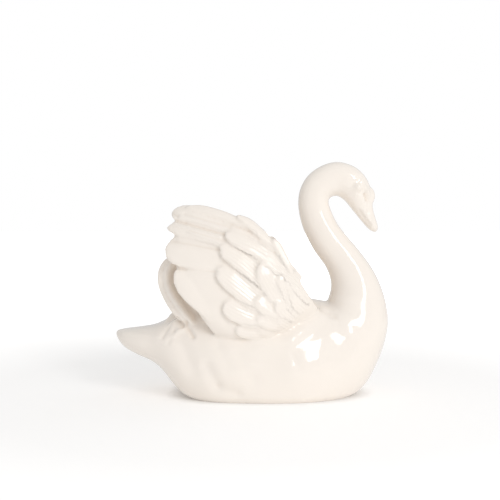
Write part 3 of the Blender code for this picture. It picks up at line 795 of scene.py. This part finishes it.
def glazedEarthenware():
    made = bpy.data.materials.new("glazedEarthenware")
    made.use_nodes = True
    tree = made.node_tree
    shader = tree.nodes["Principled BSDF"]
    shader.inputs["IOR"].default_value = glaze["ior"]
    place = addNode(tree, "ShaderNodeTexCoord", (-1300, 0))

    # the creases and hollows are painted deeper and warmer: partly the glaze pooling there, partly
    # painted shade where the relief would fall into shadow
    geometry = addNode(tree, "ShaderNodeNewGeometry", (-1000, 400))
    poolAndShade = addNode(tree, "ShaderNodeMapRange", (-800, 400), {"Value": geometry.outputs["Pointiness"]},
                   values={"From Min": glaze["crease"], "From Max": glaze["open"]})
    colour = addNode(tree, "ShaderNodeMix", (-500, 400), {"Factor": poolAndShade.outputs["Result"]},
                     data_type="RGBA")
    colour.inputs[6].default_value = srgb(glaze["poolAndShadeColour"])
    colour.inputs[7].default_value = srgb(glaze["colour"])
    tree.links.new(colour.outputs[2], shader.inputs["Base Color"])

    # a glaze is never evenly shiny
    patches = addNode(tree, "ShaderNodeTexNoise", (-1000, 100), {"Vector": place.outputs["Object"]},
                      values={"Scale": glaze["patchScale"], "Detail": glaze["patchDetail"]})
    patchLow, patchHigh = glaze["patchRange"]
    shine = addNode(tree, "ShaderNodeMapRange", (-800, 100), {"Value": patches.outputs["Fac"]},
                    values={"From Min": patchLow, "From Max": patchHigh,
                            "To Min": glaze["roughness"] * glaze["shiniest"],
                            "To Max": glaze["roughness"] * glaze["dullest"]})
    tree.links.new(shine.outputs["Result"], shader.inputs["Roughness"])

    # fine lines along each feather, fading out toward its tip
    across = addNode(tree, "ShaderNodeAttribute", (-1300, -300), attribute_name="featherAcross")
    strength = addNode(tree, "ShaderNodeAttribute", (-1300, -500), attribute_name="featherLines")
    turns = addNode(tree, "ShaderNodeMath", (-1100, -300), {0: across.outputs["Fac"]},
                    operation="MULTIPLY", values={1: 2 * math.pi / glaze["lineSpacing"]})
    wave = addNode(tree, "ShaderNodeMath", (-900, -300), {0: turns.outputs[0]}, operation="SINE")
    lines = addNode(tree, "ShaderNodeMath", (-600, -300),
                    {0: wave.outputs[0], 1: strength.outputs["Fac"]}, operation="MULTIPLY")
    lineBump = addNode(tree, "ShaderNodeBump", (-400, -300), {"Height": lines.outputs[0]},
                       values={"Strength": 1.0, "Distance": glaze["lineDepth"] * mm})
    ripples = addNode(tree, "ShaderNodeTexNoise", (-600, -100), {"Vector": place.outputs["Object"]},
                      values={"Scale": glaze["rippleScale"], "Detail": glaze["rippleDetail"]})
    rippleBump = addNode(tree, "ShaderNodeBump", (-200, -200),
                         {"Height": ripples.outputs["Fac"], "Normal": lineBump.outputs["Normal"]},
                         values={"Strength": 1.0, "Distance": glaze["rippleDepth"] * mm})
    # the casting is a little uneven, which breaks up what the glaze mirrors
    swells = addNode(tree, "ShaderNodeTexNoise", (-600, -600), {"Vector": place.outputs["Object"]},
                     values={"Scale": glaze["swellScale"], "Detail": glaze["swellDetail"]})
    swellBump = addNode(tree, "ShaderNodeBump", (0, -300),
                        {"Height": swells.outputs["Fac"], "Normal": rippleBump.outputs["Normal"]},
                        values={"Strength": 1.0, "Distance": glaze["swellDepth"] * mm})
    tree.links.new(swellBump.outputs["Normal"], shader.inputs["Normal"])
    return made


swan.data.materials.append(glazedEarthenware())
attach(swan, "root")
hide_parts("swan")
print("glaze set")


# floor, light and camera

stage = {
    "floorColour": "#F6F5F4",
    "floorSize": 6.0,
    "floorRoughness": 0.8,
    # what the camera sees added to the paper, near the swan and far off
    "nearLift": 0.23,
    "farLift": 0.75,
    "liftFrom": 0.10,
    "liftTo": 0.45,
    # the thin shade right under the swan: how far it reaches and how dark it runs
    "shadeReach": 0.006,
    "shadeRange": (0.15, 0.8),
    "shadeSamples": 16,
    # light thrown up by the rest of the white table, and soft light from all round
    "bounce": 0.12,
    "fill": 0.64,
    "lightColour": "#FFFFFF",
}

bpy.ops.mesh.primitive_plane_add(size=stage["floorSize"], location=(0, 0, 0))
floor = bpy.context.object
floor.name = "floor"
paper = bpy.data.materials.new("whitePaper")
paper.use_nodes = True
tree = paper.node_tree
shader = tree.nodes["Principled BSDF"]
shader.inputs["Base Color"].default_value = srgb(stage["floorColour"])
shader.inputs["Roughness"].default_value = stage["floorRoughness"]
shader.inputs["Emission Color"].default_value = srgb(stage["lightColour"])
# to the camera the paper is lifted to white, except close under the swan
path = addNode(tree, "ShaderNodeLightPath", (-900, 300))
spot = addNode(tree, "ShaderNodeNewGeometry", (-1100, -200))
reach = addNode(tree, "ShaderNodeVectorMath", (-900, -200), {0: spot.outputs["Position"]},
                operation="LENGTH")
lift = addNode(tree, "ShaderNodeMapRange", (-700, -200), {"Value": reach.outputs["Value"]},
               values={"From Min": stage["liftFrom"], "From Max": stage["liftTo"],
                       "To Min": stage["nearLift"], "To Max": stage["farLift"]})
near = addNode(tree, "ShaderNodeAmbientOcclusion", (-900, 0), samples=stage["shadeSamples"],
               values={"Distance": stage["shadeReach"]})
shadeLow, shadeHigh = stage["shadeRange"]
clear = addNode(tree, "ShaderNodeMapRange", (-700, 50), {"Value": near.outputs["AO"]},
                values={"From Min": shadeLow, "From Max": shadeHigh})
seen = addNode(tree, "ShaderNodeMath", (-500, 200),
               {0: path.outputs["Is Camera Ray"], 1: clear.outputs["Result"]}, operation="MULTIPLY")
glow = addNode(tree, "ShaderNodeMath", (-300, 100), {0: seen.outputs[0], 1: lift.outputs["Result"]},
               operation="MULTIPLY")
# the light that the table throws up, which the camera doesn't see
notSeen = addNode(tree, "ShaderNodeMath", (-500, 400), {1: path.outputs["Is Camera Ray"]},
                  operation="SUBTRACT", values={0: 1.0})
thrown = addNode(tree, "ShaderNodeMath", (-300, 400), {0: notSeen.outputs[0]},
                 operation="MULTIPLY", values={1: stage["bounce"]})
shining = addNode(tree, "ShaderNodeMath", (-100, 250), {0: glow.outputs[0], 1: thrown.outputs[0]},
                  operation="ADD")
tree.links.new(shining.outputs[0], shader.inputs["Emission Strength"])
floor.data.materials.append(paper)


lamps = [
    # name, place, aimed at, size, watts, whether the glaze mirrors it
    ("windowStrip", (0.35, -0.60, 0.37), (0.02, 0, 0.04), (0.125, 0.31), 0.95, True),
    ("broadSide", (0.6, -1.05, 0.55), (0, 0, 0.04), (1.0, 0.8), 2.7, False),
    ("rightTop", (0.42, 0.40, 0.62), (0, 0, 0.05), (0.45, 0.45), 0.3, False),
]


def softBox(name, at, target, size, power, inGlaze):
    data = bpy.data.lights.new(name, "AREA")
    data.shape = "RECTANGLE"
    data.size, data.size_y = size
    data.energy = power
    lamp = bpy.data.objects.new(name, data)
    lamp.location = at
    lamp.rotation_euler = (Vector(target) - Vector(at)).to_track_quat("-Z", "Y").to_euler()
    lamp.visible_glossy = inGlaze
    bpy.context.scene.collection.objects.link(lamp)


for lampRow in lamps:
    softBox(*lampRow)

world = bpy.data.worlds.new("studio")
bpy.context.scene.world = world
world.use_nodes = True
tree = world.node_tree
tree.nodes.clear()
path = addNode(tree, "ShaderNodeLightPath", (-600, 0))
white = srgb(stage["lightColour"])
fill = addNode(tree, "ShaderNodeBackground", (-200, 100),
               values={"Color": white, "Strength": stage["fill"]})
seen = addNode(tree, "ShaderNodeBackground", (-200, -100), values={"Color": white, "Strength": 1.0})
mixed = addNode(tree, "ShaderNodeMixShader", (0, 0),
                {0: path.outputs["Is Camera Ray"], 1: fill.outputs[0], 2: seen.outputs[0]})
addNode(tree, "ShaderNodeOutputWorld", (200, 0), {"Surface": mixed.outputs[0]})

cameraSetup = {"at": (-0.00074, -0.350, 0.066), "lens": 68.4, "pitch": 2.19, "clipStart": 0.01}
cameraData = bpy.data.cameras.new("camera")
cameraData.lens = cameraSetup["lens"]
cameraData.clip_start = cameraSetup["clipStart"]
camera = bpy.data.objects.new("camera", cameraData)
camera.location = cameraSetup["at"]
camera.rotation_euler = (math.radians(90 - cameraSetup["pitch"]), 0, 0)
bpy.context.scene.collection.objects.link(camera)
bpy.context.scene.camera = camera
bpy.context.scene.view_settings.view_transform = "Standard"
